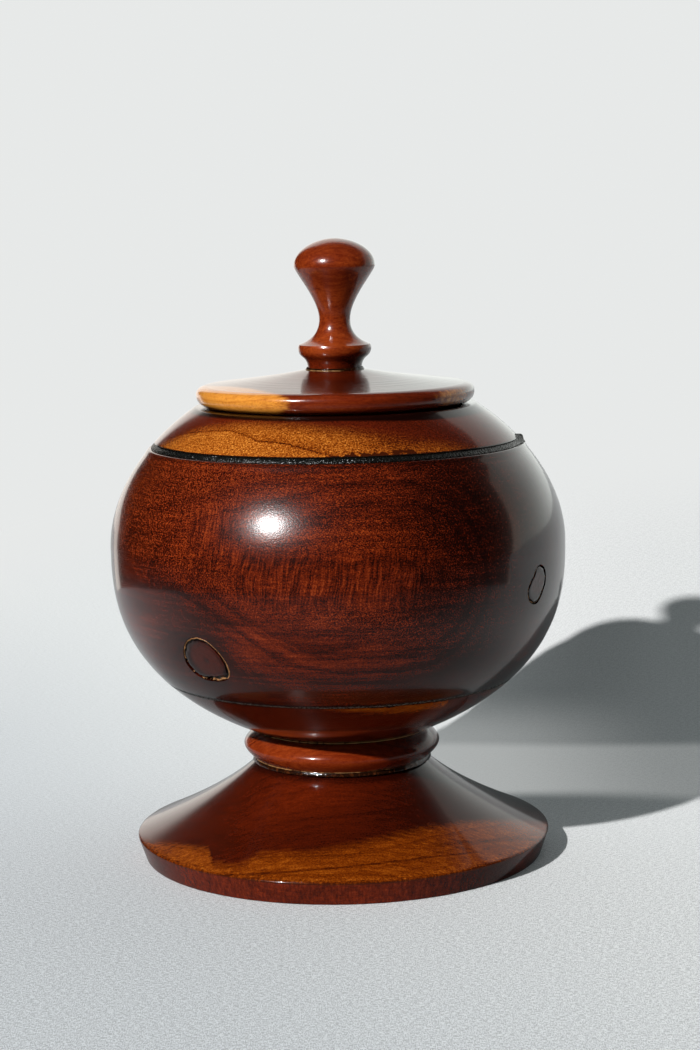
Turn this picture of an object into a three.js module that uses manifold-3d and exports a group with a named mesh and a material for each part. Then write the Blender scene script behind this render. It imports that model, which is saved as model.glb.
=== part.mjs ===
// A lidded box turned in wood: a flared foot, a beaded collar, a round bowl glued up from three
// sections with black joints, a low domed lid and a spindle knob.
// Millimetres, +Z up. The foot stands on z = 0 and the turning axis is the Z axis.

import * as THREE from 'three';
import { mergeVertices } from 'three/addons/utils/BufferGeometryUtils.js';
import Module from 'manifold-3d';

// Driving dimensions

// Foot: a flare with a sharp rim, cut back under the rim, hollowed slightly where it stands
const footHeight = 27.8;
const footRimRadius = 60.8;
const footRimHeight = 6.8;
const footStandRadius = 58.5;
const footNeckRadius = 25.2;
const flareTurnRadius = 35.8; // where the slopes of the flare's two ends would meet
const flareTurnHeight = 17.6;
const footHollowRadius = 51;
const footHollowDepth = 1.6;

// Collar: one bead between the foot and the bowl
const collarHeight = 9.5;
const collarFootRadius = 24.4;
const collarBeadRadius = 28.8;
const collarBeadHeight = 5;
const collarTopRadius = 24.8;
const collarTenonRadius = 12;
const collarLowerTenon = 11;
const collarUpperTenon = 5;

// Bowl: its outline swells from the collar to the belly and closes in to the mouth
const bellyRadius = 66.2;
const bellyHeight = 55; // widest section, above the bowl's underside
const closeBelow = 5.8; // from the underside down to where the outline would close
const closeAbove = 13.1; // from the mouth up to where it would close
const dropHeightPower = 2.6; // how full the outline is below the widest section
const dropRadiusPower = 1.52;
const riseHeightPower = 1.9; // and above it
const riseRadiusPower = 1.8;
const wall = 7;
const floorThickness = 3.7; // between the hollow and the mortise under it

// Bowl sections, from the underside up
const bowlBaseHeight = 15.8;
const bellySectionHeight = 67.4;
const shoulderHeight = 11.5;
const lowerJointThickness = 0.7;
const upperJointThickness = 1.6;
const jointDepth = 3;
const jointSetBack = 0.35;

// Mouth and lid
const mouthRadius = 32;
const spigotPlay = 0.5;
const spigotDepth = 5;
const lidSeatRadius = 36.8;
const lidRimRadius = 40.3;
const lidRimHeight = 3.6; // widest part of the rounded rim, above the seat
const lidShoulderRadius = 37.6;
const lidShoulderHeight = 6;
const lidShoulderDrop = 0.5; // from the shoulder down to where the rim's curve turns
const lidHeight = 10; // at the knob
const lidLandRadius = 9.1;
const lidDomeTurnRadius = 18;
const lidDomeTurnHeight = 8.2;
const lidDishRadius = 27;
const lidDishDepth = 2.4;

// Knob: base, bead, waist and head
const knobHeight = 37.7;
const knobBaseRadius = 7.8;
const knobBeadRadius = 10.6;
const knobBeadHeight = 6.5;
const knobBeadEdge = 0.75; // from the bead's widest part up to its sharp edge
const knobBeadBevel = 0.25; // and in to it
const knobWaistRadius = 4.35;
const knobWaistHeight = 14.5;
const knobHeadRadius = 11.6;
const knobHeadHeight = 30.8;
const knobEaseIn = 0.4; // how far the head's curve is drawn in below its widest part
const knobEaseOut = 0.3; // and let out above it
const knobTenonRadius = 4;
const knobTenonLength = 6;

// How far the curves of the turned profiles pull before they turn, as shares of their stretch
const collarPull = 0.65;
const basePull = 0.68;
const beadPull = 0.55;
const hollowInPull = 0.7;
const hollowDownPull = 0.19;
const waistLowerPull = 0.45;
const waistUpperPull = 0.46;
const headPull = 0.2;
const domePull = 0.35;
const crownPull = 0.44;

// Squeezed-out glue: width and height of each ring
const footGlueWidth = 1.1;
const footGlueHeight = 1.4;
const bowlGlueWidth = 0.8;
const bowlGlueHeight = 0.7;
const knobGlueWidth = 1;
const knobGlueHeight = 0.7;

// Knots: azimuth from the front towards the right, height above the bowl's underside
const knotDepth = 5;
const barkWidth = 0.9;
const leftKnot = { azimuth: -37.3, height: 29, radius: 7.6 };
const rightKnot = { azimuth: 57, height: 46.4, radius: 5.4 };

const glueFilm = 0.05; // between glued faces, and under the lid
const fitGap = 0.3; // round tenons, fillers and knots

// Facets round the large and the small pieces, and along each curve
const largeFacets = 48;
const smallFacets = 32;
const curveSteps = 4;

// Heights of the pieces' seats above the floor
const collarSeat = footHeight + glueFilm;
const bowlSeat = collarSeat + collarHeight + glueFilm;

// Heights in the bowl's own frame, above its underside
const bellyBottom = bowlBaseHeight + glueFilm;
const bellyTop = bellyBottom + bellySectionHeight;
const shoulderBottom = bellyTop + glueFilm;
const mouthTop = shoulderBottom + shoulderHeight;
const bowlDrop = bellyHeight + closeBelow;
const bowlRise = mouthTop + closeAbove - bellyHeight;
const bowlFloor = collarUpperTenon + fitGap + floorThickness;
const lidSeat = mouthTop + glueFilm;
const mortiseRadius = collarTenonRadius + fitGap;
const knobMortiseRadius = knobTenonRadius + fitGap;

const wasm = await Module();
wasm.setup();

const at = (radius, height) => new THREE.Vector2(radius, height);

function bend(from, turn, to) {
  return new THREE.QuadraticBezierCurve(from, turn, to).getPoints(curveSteps);
}

function sweep(from, firstPull, secondPull, to) {
  return new THREE.CubicBezierCurve(from, firstPull, secondPull, to).getPoints(curveSteps);
}

// The outline's radius at a height, for the outside, or for the hollow one wall further in
function bowlRadius(height, inset = 0) {
  const above = height > bellyHeight;
  const reach = (above ? bowlRise : bowlDrop) - inset;
  const heightPower = above ? riseHeightPower : dropHeightPower;
  const radiusPower = above ? riseRadiusPower : dropRadiusPower;
  const share = Math.min(Math.abs(height - bellyHeight) / reach, 1);
  return (bellyRadius - inset) * (1 - share ** heightPower) ** (1 / radiusPower);
}

// The height above the belly where the hollow has narrowed to a radius
function hollowHeight(radius) {
  const share = 1 - (radius / (bellyRadius - wall)) ** riseRadiusPower;
  return bellyHeight + (bowlRise - wall) * share ** (1 / riseHeightPower);
}

function bowlStretch(fromHeight, toHeight, inset, steps) {
  const points = [];
  for (let i = 0; i <= steps; i += 1) {
    const height = THREE.MathUtils.lerp(fromHeight, toHeight, i / steps);
    points.push(at(bowlRadius(height, inset), height));
  }
  return points;
}

// An outline runs up the outside and back down the inside
function turned(outline, facets) {
  const points = outline.filter((point, i) => i === 0 || point.distanceTo(outline[i - 1]) > 1e-6);
  const geometry = new THREE.LatheGeometry(points, facets);
  geometry.rotateX(Math.PI / 2);
  return geometry;
}

function turnedRing(outline, facets) {
  return turned([...outline, outline[0]], facets);
}

function toSolid(geometry) {
  const bare = geometry.clone();
  bare.deleteAttribute('normal');
  bare.deleteAttribute('uv');
  const merged = mergeVertices(bare, 1e-4);
  return new wasm.Manifold(new wasm.Mesh({
    numProp: 3,
    vertProperties: Float32Array.from(merged.attributes.position.array),
    triVerts: Uint32Array.from(merged.index.array),
  }));
}

function toGeometry(solid) {
  const { vertProperties, triVerts } = solid.getMesh();
  const geometry = new THREE.BufferGeometry();
  geometry.setAttribute('position', new THREE.BufferAttribute(vertProperties, 3));
  geometry.setIndex(new THREE.BufferAttribute(triVerts, 1));
  geometry.computeVertexNormals();
  return geometry;
}

const finishes = {
  footWood: { color: 0x7a2d12, roughness: 0.25 },
  collarWood: { color: 0x6f2412, roughness: 0.2 },
  baseWood: { color: 0x5c1c0c, roughness: 0.22 },
  bellyWood: { color: 0x531a10, roughness: 0.18 },
  shoulderWood: { color: 0x8a4516, roughness: 0.2 },
  lidWood: { color: 0x6e2a14, roughness: 0.2 },
  knobWood: { color: 0x7a2712, roughness: 0.15 },
  knotWood: { color: 0x4a1c14, roughness: 0.25 },
  bark: { color: 0x8a5a2c, roughness: 0.8 },
  filler: { color: 0x0d0b0a, roughness: 0.35 },
  glue: { color: 0xb9813a, roughness: 0.2 },
};

const materials = Object.fromEntries(
  Object.entries(finishes).map(([name, look]) => [
    name,
    new THREE.MeshStandardMaterial({ ...look, metalness: 0 }),
  ]),
);

function piece(name, geometry, finish, height = 0) {
  const mesh = new THREE.Mesh(geometry, materials[finish]);
  mesh.name = name;
  mesh.position.z = height;
  return mesh;
}

function makeFoot() {
  const mortiseFloor = footHeight - collarLowerTenon - fitGap + glueFilm;
  const neck = at(footNeckRadius, footHeight);
  const rim = at(footRimRadius, footRimHeight);
  const outline = [
    ...bend(at(0, footHollowDepth), at(footHollowRadius / 2, footHollowDepth), at(footHollowRadius, 0)),
    at(footStandRadius, 0),
    ...bend(rim, at(flareTurnRadius, flareTurnHeight), neck),
    at(mortiseRadius, footHeight),
    at(mortiseRadius, mortiseFloor),
    at(0, mortiseFloor),
  ];
  return piece('foot', turned(outline, largeFacets), 'footWood');
}

// The bead is fuller below its widest part than above it
function collarBead() {
  const widest = at(collarBeadRadius, collarBeadHeight);
  const upperStretch = collarHeight - collarBeadHeight;
  const lowerTurn = at(collarBeadRadius, collarBeadHeight * collarPull);
  const upperTurn = at(collarBeadRadius, collarBeadHeight + upperStretch * (1 - collarPull));
  return [
    ...bend(at(collarFootRadius, 0), lowerTurn, widest),
    ...bend(widest, upperTurn, at(collarTopRadius, collarHeight)),
  ];
}

function makeCollar() {
  const tenonTop = collarHeight + collarUpperTenon;
  const outline = [
    at(0, -collarLowerTenon),
    at(collarTenonRadius, -collarLowerTenon),
    at(collarTenonRadius, 0),
    ...collarBead(),
    at(collarTenonRadius, collarHeight),
    at(collarTenonRadius, tenonTop),
    at(0, tenonTop),
  ];
  return piece('collar', turned(outline, largeFacets), 'collarWood', collarSeat);
}

// Sits on the foot's neck and leans on the slope of the bead above it
function makeLowerGlue() {
  const inside = collarFootRadius + fitGap;
  const outline = [
    at(inside, 0),
    at(inside + footGlueWidth, 0),
    at(inside + footGlueWidth + footGlueHeight / 2, footGlueHeight / 2),
    at(inside + footGlueWidth / 2 + footGlueHeight, footGlueHeight),
  ];
  return piece('collar_glue_lower', turnedRing(outline, largeFacets), 'glue', collarSeat);
}

// A wedge that points into the crease between the bead's upper edge and the bowl
function makeUpperGlue() {
  const inside = Math.max(collarTopRadius, bowlRadius(0)) + fitGap * 1.5;
  const outline = [
    at(inside, 0),
    at(inside + bowlGlueWidth, -bowlGlueHeight / 2),
    at(inside + bowlGlueWidth, bowlGlueHeight / 2),
  ];
  return piece('collar_glue_upper', turnedRing(outline, largeFacets), 'glue', bowlSeat - glueFilm);
}

function makeBowlBase() {
  const mortiseTop = collarUpperTenon + fitGap;
  const outline = [
    at(0, mortiseTop),
    at(mortiseRadius, mortiseTop),
    at(mortiseRadius, 0),
    ...bowlStretch(0, bowlBaseHeight, 0, curveSteps),
    ...bowlStretch(bowlBaseHeight, bowlFloor, wall, curveSteps - 1),
    at(0, bowlFloor),
  ];
  return piece('bowl_base', turned(outline, largeFacets), 'baseWood');
}

// Filler in the outer part of a joint, a little inside the bowl's outline
function makeJointRing(name, bottom, thickness) {
  const top = bottom + thickness;
  const inside = bowlRadius(bottom) - jointDepth;
  const outline = [
    at(inside, bottom),
    at(bowlRadius(bottom) - jointSetBack, bottom),
    at(bowlRadius(top) - jointSetBack, top),
    at(inside, top),
  ];
  return piece(name, turnedRing(outline, largeFacets), 'filler');
}

// A rebate in the belly's lower edge takes the lower filler
function bellyOutline() {
  const rebateTop = bellyBottom + lowerJointThickness;
  const rebateRadius = bowlRadius(bellyBottom) - jointDepth - fitGap;
  return [
    at(rebateRadius, bellyBottom),
    at(rebateRadius, rebateTop),
    ...bowlStretch(rebateTop, bellyTop, 0, curveSteps * 3),
    ...bowlStretch(bellyTop, bellyBottom, wall, curveSteps * 2 + 1),
  ];
}

// Stands the knot's cylinder square to the belly's surface, with its mid length on the surface
function placeOnBelly(geometry, knot) {
  const turn = THREE.MathUtils.degToRad(knot.azimuth);
  const radius = bowlRadius(knot.height);
  const slope = (bowlRadius(knot.height + barkWidth) - radius) / barkWidth;
  const place = new THREE.Object3D();
  place.position.set(radius * Math.sin(turn), -radius * Math.cos(turn), knot.height);
  const outward = new THREE.Vector3(Math.sin(turn), -Math.cos(turn), -slope).normalize();
  place.quaternion.setFromUnitVectors(new THREE.Vector3(0, 1, 0), outward);
  place.updateMatrix();
  geometry.applyMatrix4(place.matrix);
  return geometry;
}

function knotCore(knot, radius, depth) {
  return toSolid(placeOnBelly(new THREE.CylinderGeometry(radius, radius, depth * 2, 20), knot));
}

function makeBelly() {
  let solid = toSolid(turnedRing(bellyOutline(), largeFacets));
  const pieces = [];
  for (const [name, knot] of [['knot_left', leftKnot], ['knot_right', rightKnot]]) {
    const seated = knotDepth - fitGap;
    const wood = knot.radius - barkWidth - fitGap;
    const bark = knotCore(knot, knot.radius, seated).subtract(knotCore(knot, wood + fitGap, knotDepth));
    const shell = solid;
    pieces.push(piece(name, toGeometry(shell.intersect(knotCore(knot, wood, seated))), 'knotWood'));
    pieces.push(piece(`${name}_bark`, toGeometry(shell.intersect(bark)), 'bark'));
    solid = solid.subtract(knotCore(knot, knot.radius + fitGap, knotDepth));
  }
  return [piece('belly', toGeometry(solid), 'bellyWood'), ...pieces];
}

// A rebate in the shoulder's lower edge takes the upper filler
function makeShoulder() {
  const rebateTop = shoulderBottom + upperJointThickness;
  const rebateRadius = bowlRadius(shoulderBottom) - jointDepth - fitGap;
  const boreBottom = hollowHeight(mouthRadius);
  const outline = [
    at(rebateRadius, shoulderBottom),
    at(rebateRadius, rebateTop),
    ...bowlStretch(rebateTop, mouthTop, 0, curveSteps),
    at(mouthRadius, mouthTop),
    ...bowlStretch(boreBottom, shoulderBottom, wall, curveSteps),
  ];
  return piece('shoulder_ring', turnedRing(outline, largeFacets), 'shoulderWood');
}

function makeBowl() {
  const bowl = new THREE.Group();
  bowl.position.z = bowlSeat;
  bowl.add(
    makeBowlBase(),
    makeJointRing('lower_joint_ring', bellyBottom, lowerJointThickness - fitGap / 3),
    ...makeBelly(),
    makeJointRing('upper_joint_ring', shoulderBottom, upperJointThickness - fitGap / 3),
    makeShoulder(),
  );
  return bowl;
}

function makeLidDisc() {
  const spigotRadius = mouthRadius - spigotPlay;
  const mortiseFloor = lidHeight - knobTenonLength - fitGap;
  const rim = at(lidRimRadius, lidRimHeight);
  const shoulder = at(lidShoulderRadius, lidShoulderHeight);
  const land = at(lidLandRadius, lidHeight);
  const outline = [
    at(0, lidDishDepth - spigotDepth),
    ...bend(
      at(lidDishRadius / 2, lidDishDepth - spigotDepth),
      at(lidDishRadius, lidDishDepth - spigotDepth),
      at(lidDishRadius, -spigotDepth),
    ),
    at(spigotRadius, -spigotDepth),
    at(spigotRadius, 0),
    ...bend(at(lidSeatRadius, 0), at(lidRimRadius, lidRimHeight / 6), rim),
    ...bend(rim, at(lidRimRadius, lidShoulderHeight - lidShoulderDrop), shoulder),
    ...bend(shoulder, at(lidDomeTurnRadius, lidDomeTurnHeight), land),
    at(knobMortiseRadius, lidHeight),
    at(knobMortiseRadius, mortiseFloor),
    at(0, mortiseFloor),
  ];
  return piece('lid', turned(outline, largeFacets), 'lidWood');
}

// Base and bead, hollow sweep to the waist, slow swell to the head, low dome on top
function makeKnob() {
  const beadWidest = at(knobBeadRadius, knobBeadHeight);
  const beadEdge = at(knobBeadRadius - knobBeadBevel, knobBeadHeight + knobBeadEdge);
  const waist = at(knobWaistRadius, knobWaistHeight);
  const head = at(knobHeadRadius, knobHeadHeight);
  const hollow = knobWaistHeight - beadEdge.y;
  const swell = knobHeadHeight - knobWaistHeight;
  const dome = knobHeight - knobHeadHeight;
  const outline = [
    at(0, -knobTenonLength),
    at(knobTenonRadius, -knobTenonLength),
    at(knobTenonRadius, 0),
    ...sweep(
      at(knobBaseRadius, 0),
      at(knobBaseRadius, knobBeadHeight * basePull),
      at(knobBeadRadius, knobBeadHeight * (1 - beadPull)),
      beadWidest,
    ),
    ...sweep(
      beadEdge,
      at(beadEdge.x - (beadEdge.x - knobWaistRadius) * hollowInPull, beadEdge.y + hollow * hollowDownPull),
      at(knobWaistRadius, knobWaistHeight - hollow * waistLowerPull),
      waist,
    ),
    ...sweep(
      waist,
      at(knobWaistRadius, knobWaistHeight + swell * waistUpperPull),
      at(knobHeadRadius - knobEaseIn, knobHeadHeight - swell * headPull),
      head,
    ),
    ...sweep(
      head,
      at(knobHeadRadius + knobEaseOut, knobHeadHeight + dome * domePull),
      at(knobHeadRadius * (1 - crownPull), knobHeight),
      at(0, knobHeight),
    ),
  ];
  return piece('knob', turned(outline, smallFacets), 'knobWood', lidHeight + glueFilm);
}

function makeKnobGlue() {
  const inside = knobBaseRadius + fitGap;
  const outline = [
    at(inside, 0),
    at(inside + knobGlueWidth, 0),
    at(inside + knobGlueWidth / 2, knobGlueHeight),
    at(inside, knobGlueHeight),
  ];
  return piece('knob_glue_bead', turnedRing(outline, smallFacets), 'glue', lidHeight + glueFilm);
}

function makeLid() {
  const lid = new THREE.Group();
  lid.position.z = bowlSeat + lidSeat;
  lid.add(makeLidDisc(), makeKnob(), makeKnobGlue());
  return lid;
}

const box = new THREE.Group();
box.add(makeFoot(), makeCollar(), makeLowerGlue(), makeUpperGlue(), makeBowl(), makeLid());

export default box;
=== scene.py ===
# Turned wooden box: the looks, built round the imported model

from math import atan2, ceil, comb, cos, degrees, hypot, pi, radians, sin

import bmesh
import bpy
from mathutils import Matrix, Vector, noise
from mathutils.geometry import delaunay_2d_cdt


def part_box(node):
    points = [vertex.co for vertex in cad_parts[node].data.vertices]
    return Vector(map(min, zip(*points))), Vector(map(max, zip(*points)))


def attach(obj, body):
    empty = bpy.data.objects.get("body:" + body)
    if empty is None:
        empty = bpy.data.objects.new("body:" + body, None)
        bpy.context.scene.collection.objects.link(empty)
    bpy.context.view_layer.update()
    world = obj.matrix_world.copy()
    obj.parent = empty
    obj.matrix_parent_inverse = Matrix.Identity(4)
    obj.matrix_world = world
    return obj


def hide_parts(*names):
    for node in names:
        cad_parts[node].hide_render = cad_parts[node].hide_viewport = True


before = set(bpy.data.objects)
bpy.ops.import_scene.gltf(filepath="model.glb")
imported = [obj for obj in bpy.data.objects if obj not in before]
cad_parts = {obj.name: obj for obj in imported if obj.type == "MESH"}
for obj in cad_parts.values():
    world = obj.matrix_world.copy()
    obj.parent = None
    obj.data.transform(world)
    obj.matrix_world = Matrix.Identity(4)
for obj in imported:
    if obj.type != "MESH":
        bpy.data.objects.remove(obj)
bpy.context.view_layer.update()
scene = bpy.context.scene
mm = 0.001

# View, light and ground. Lengths are in metres here, and in millimetres for the box itself

view = {
    "distance": 0.6813,  # from the turning axis
    "height": 0.1905,
    "pitchDown": 7.84,
    "turnRight": 0.30,
    "roll": -1.04,
    "focalPixels": 2354,
    "pictureHeight": 1050,
}


def addCamera():
    pitch, turn = radians(view["pitchDown"]), radians(view["turnRight"])
    right = Vector((cos(turn), -sin(turn), 0))
    ahead = Vector((sin(turn), cos(turn), 0))
    forward = ahead * cos(pitch) - Vector((0, 0, sin(pitch)))
    up = ahead * sin(pitch) + Vector((0, 0, cos(pitch)))
    stand = Matrix((right, up, -forward)).transposed()
    camera = bpy.data.objects.new("camera", bpy.data.cameras.new("camera"))
    scene.collection.objects.link(camera)
    camera.matrix_world = (
        Matrix.Translation((0, -view["distance"], view["height"]))
        @ (stand @ Matrix.Rotation(radians(view["roll"]), 3, "Z")).to_4x4()
    )
    camera.data.sensor_width = 36
    camera.data.lens = 36 * view["focalPixels"] / view["pictureHeight"]
    camera.data.clip_start = 0.01
    scene.camera = camera


def joinedBy(operation, swapped=False):
    # an operator of Shade: one Math node that takes the terms in order, or swapped
    def operator(self, *others):
        terms = (*others, self) if swapped else (self, *others)
        return self.math(operation, *terms)

    return operator


class Shade:
    # one socket of a node tree; arithmetic on it adds Math nodes
    def __init__(self, tree, socket=None):
        self.tree = tree
        self.socket = socket

    def add(self, kind, settings=None, values=None, output=0):
        made = self.tree.nodes.new(kind)
        for name, value in (settings or {}).items():
            if name == "stops":
                fillRamp(made.color_ramp, value)
            else:
                setattr(made, name, value)
        for name, value in (values or {}).items():
            if isinstance(value, Shade):
                self.tree.links.new(value.socket, made.inputs[name])
            else:
                made.inputs[name].default_value = value
        return Shade(self.tree, made.outputs[output] if made.outputs else None)

    def math(self, operation, *terms):
        return self.add("ShaderNodeMath", {"operation": operation}, dict(enumerate(terms)))

    __add__ = joinedBy("ADD")
    __radd__ = joinedBy("ADD", True)
    __sub__ = joinedBy("SUBTRACT")
    __rsub__ = joinedBy("SUBTRACT", True)
    __mul__ = joinedBy("MULTIPLY")
    __rmul__ = joinedBy("MULTIPLY", True)
    __truediv__ = joinedBy("DIVIDE")
    __rtruediv__ = joinedBy("DIVIDE", True)
    __pow__ = joinedBy("POWER")
    __abs__ = joinedBy("ABSOLUTE")
    above = joinedBy("MAXIMUM")
    below = joinedBy("MINIMUM")

    def ease(self, low, high, start=0, end=1):
        values = {"Value": self, "From Min": low, "From Max": high, "To Min": start, "To Max": end}
        return self.add("ShaderNodeMapRange", {"interpolation_type": "SMOOTHSTEP"}, values)

    def vector(self, x, y, z):
        return self.add("ShaderNodeCombineXYZ", {}, {0: x, 1: y, 2: z})

    def noise(self, spot, scale=1.0, detail=2.0, rough=0.5):
        if isinstance(spot, tuple):
            spot = self.vector(*spot)
        values = {"Vector": spot, "Scale": scale, "Detail": detail, "Roughness": rough}
        return self.add("ShaderNodeTexNoise", {}, values)

    def bands(self, height, scale=1.0, detail=2.0):
        settings = {"noise_dimensions": "1D"}
        return self.add("ShaderNodeTexNoise", settings, {"W": height, "Scale": scale, "Detail": detail})

    def ramp(self, stops):
        return self.add("ShaderNodeValToRGB", {"stops": stops}, {0: self})

    def mix(self, factor, first, second, how="MIX"):
        # a plain colour is three numbers
        first, second = [(*c, 1) if isinstance(c, tuple) else c for c in (first, second)]
        settings = {"data_type": "RGBA", "blend_type": how}
        return self.add("ShaderNodeMix", settings, {0: factor, 6: first, 7: second}, 2)

    def bump(self, height, strength, distance):
        values = {"Height": height, "Strength": strength, "Distance": distance}
        return self.add("ShaderNodeBump", {}, values)

    def glow(self, colour):
        return self.add("ShaderNodeEmission", {}, {"Color": (*colour, 1), "Strength": 1.0})

    def split(self):
        parts = self.add("ShaderNodeSeparateXYZ", {}, {0: self})
        return [Shade(self.tree, output) for output in parts.socket.node.outputs]

    def millimetres(self):
        place = self.add("ShaderNodeTexCoord", output="Object")
        spot = self.add("ShaderNodeVectorMath", {"operation": "SCALE"}, {0: place, "Scale": 1000})
        return spot, spot.split()


def fillRamp(ramp, stops):
    while len(ramp.elements) < len(stops):
        ramp.elements.new(0.5)
    for element, (place, colour) in zip(ramp.elements, stops):
        element.position = place
        element.color = (*colour, 1)


def newMaterial(name):
    # a material with its shade, and the place in millimetres as a vector and as x, y and z
    material = bpy.data.materials.new(name)
    material.use_nodes = True
    material.node_tree.nodes.clear()
    shade = Shade(material.node_tree)
    return material, shade, *shade.millimetres()


def finishMaterial(shade, surface):
    shade.add("ShaderNodeOutputMaterial", {}, {"Surface": surface})


stage = {
    "backdropColour": (0.80, 0.815, 0.81),
    "fillColour": (0.91, 1.02, 1.04),
    "fillLevel": (0.043, 0.295),  # level at right angles to the fill, and its rise towards it
    "fillTowards": (0.25, 0.55, 0.80),
    "darkRoom": (0.004, 0.004, 0.004),
    "backLeft": (1.05, 1.00, 0.93),
    "backRight": (1.03, 1.07, 1.03),
    "rightSide": (0.68, 0.70, 0.66),
    "rightEdge": (1.0, 0.74, 0.62),  # something warm stands at the backdrop's right end
    "lampDirection": (-0.522, -0.664, 0.535),
    "lampAngle": 1.5,
    "lampStrength": 3.8,
    "shadowLit": (0.66, 0.68, 0.67),
    "clothRadius": 0.415,  # the cloth ends here in front and on the left, and the varnish mirrors that edge
    "clothBack": 1.3,
    "clothFront": (0.81, 0.835, 0.855),
    "clothRear": (0.975, 0.985, 0.98),
    "threadShade": (0.62, 0.62, 0.62),
    "clothSides": 180,
    "clothStep": 0.012,
    "fadeFrom": 0.5,  # share of the way to the cloth's edge at which it starts to melt into the backdrop
    "fadeReach": 0.5,  # how much further it shows behind the box
    "riseStart": 0.02,  # the cloth climbs behind the box, on the right
    "riseLength": 0.15,
    "riseHeight": 0.042,
    "risePower": 1.5,
    "riseLimit": 0.12,
    "riseFrom": 0.03,  # and from left to right between these
    "riseTo": 0.11,
}


def addLight():
    towards = Vector(stage["lampDirection"]).normalized()
    lamp = bpy.data.lights.new("keyLamp", "SUN")
    lamp.angle = radians(stage["lampAngle"])
    lamp.energy = stage["lampStrength"]
    holder = bpy.data.objects.new("keyLamp", lamp)
    holder.location = towards
    holder.rotation_euler = towards.to_track_quat("Z", "Y").to_euler()
    scene.collection.objects.link(holder)


def addWorld():
    world = bpy.data.worlds.new("studio")
    world.use_nodes = True
    world.node_tree.nodes.clear()
    shade = Shade(world.node_tree)
    x, y, z = shade.add("ShaderNodeTexCoord", output="Generated").split()
    # varnish sees the pale backdrop behind and to the right, and a dark room elsewhere
    rightEnd = y - z * 0.25 - 0.105 - z.ease(0.53, 0.64) * 0.3 - z.ease(0.68, 0.74)
    leftEnd = x + y * (z.ease(-0.03, 0.10, 0.66, 0.35) + z.ease(0.15, 0.45) * 0.04)
    side = rightEnd.ease(-0.02, 0.02) * leftEnd.ease(-0.03, 0.03)
    right = shade.mix(rightEnd.ease(0, 0.16), stage["rightEdge"], stage["rightSide"])
    back = shade.mix(x.ease(-0.08, 0.08), stage["backLeft"], stage["backRight"])
    pale = shade.mix(y.ease(0.3, 0.9), right, back)
    dimmer = z.ease(0.05, 0.3) * 0.14 + z.ease(0.15, 0.6) * x.ease(0, 0.3) * 0.25
    pale = shade.mix(dimmer, pale, stage["darkRoom"])
    mirrored = shade.mix(side, stage["darkRoom"], pale)
    # other light comes mostly from above and behind
    (fx, fy, fz), (level, gain) = stage["fillTowards"], stage["fillLevel"]
    amount = ((x * fx + y * fy + z * fz) * gain + level).above(0.015)
    fill = shade.mix(amount, (0, 0, 0), stage["fillColour"])
    rays = ("Is Camera Ray", "Is Glossy Ray", "Is Transmission Ray")
    isCamera, isGlossy, isThrough = [shade.add("ShaderNodeLightPath", output=ray) for ray in rays]
    seen = shade.mix(isGlossy.above(isThrough), fill, mirrored)
    colour = shade.mix(isCamera, seen, stage["backdropColour"])
    light = shade.add("ShaderNodeBackground", {}, {"Color": colour, "Strength": 1.0})
    shade.add("ShaderNodeOutputWorld", {}, {"Surface": light})
    scene.world = world


def eased(value, low, high):
    # 0 below low, 1 above high, and smooth between them
    share = min(max((value - low) / (high - low), 0), 1)
    return share * share * (3 - 2 * share)


def clothRise(x, y):
    # how far the cloth has climbed at a point, in metres
    back, power = (y - stage["riseStart"]) / stage["riseLength"], stage["risePower"]
    climb = stage["riseHeight"] * (max(back, 0) ** power if back < 1 else 1 + power * (back - 1))
    return min(climb, stage["riseLimit"]) * eased(x, stage["riseFrom"], stage["riseTo"])


def clothMesh():
    # rings of points: a round edge in front and on the left, and a far one behind
    edge, far, sides = stage["clothRadius"], stage["clothBack"], stage["clothSides"]
    near, outer = 33, 14  # rings up to the edge, and beyond it
    radii = [stage["clothStep"] * i for i in range(1, near + 1)] + [edge]
    radii += [edge + (far - edge) * (i / outer) ** 1.5 for i in range(1, outer + 1)]
    points, faces = [(0, 0, 0)], []
    for i, radius in enumerate(radii):
        for k in range(sides):
            angle = 2 * pi * k / sides
            behind = min(max((cos(angle - radians(30)) - 0.48) / 0.04, 0), 1)
            reach = min(radius, edge) + max(0, radius - edge) * behind
            x, y = reach * sin(angle), reach * cos(angle)
            points.append((x, y, clothRise(x, y)))
        for k in range(sides):
            m = (k + 1) % sides
            low, high = 1 + (i - 1) * sides, 1 + i * sides
            faces.append((0, high + m, high + k) if i == 0 else (low + k, low + m, high + m, high + k))
    mesh = bpy.data.meshes.new("cloth")
    mesh.from_pydata(points, [], faces)
    mesh.shade_smooth()
    return mesh


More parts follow.
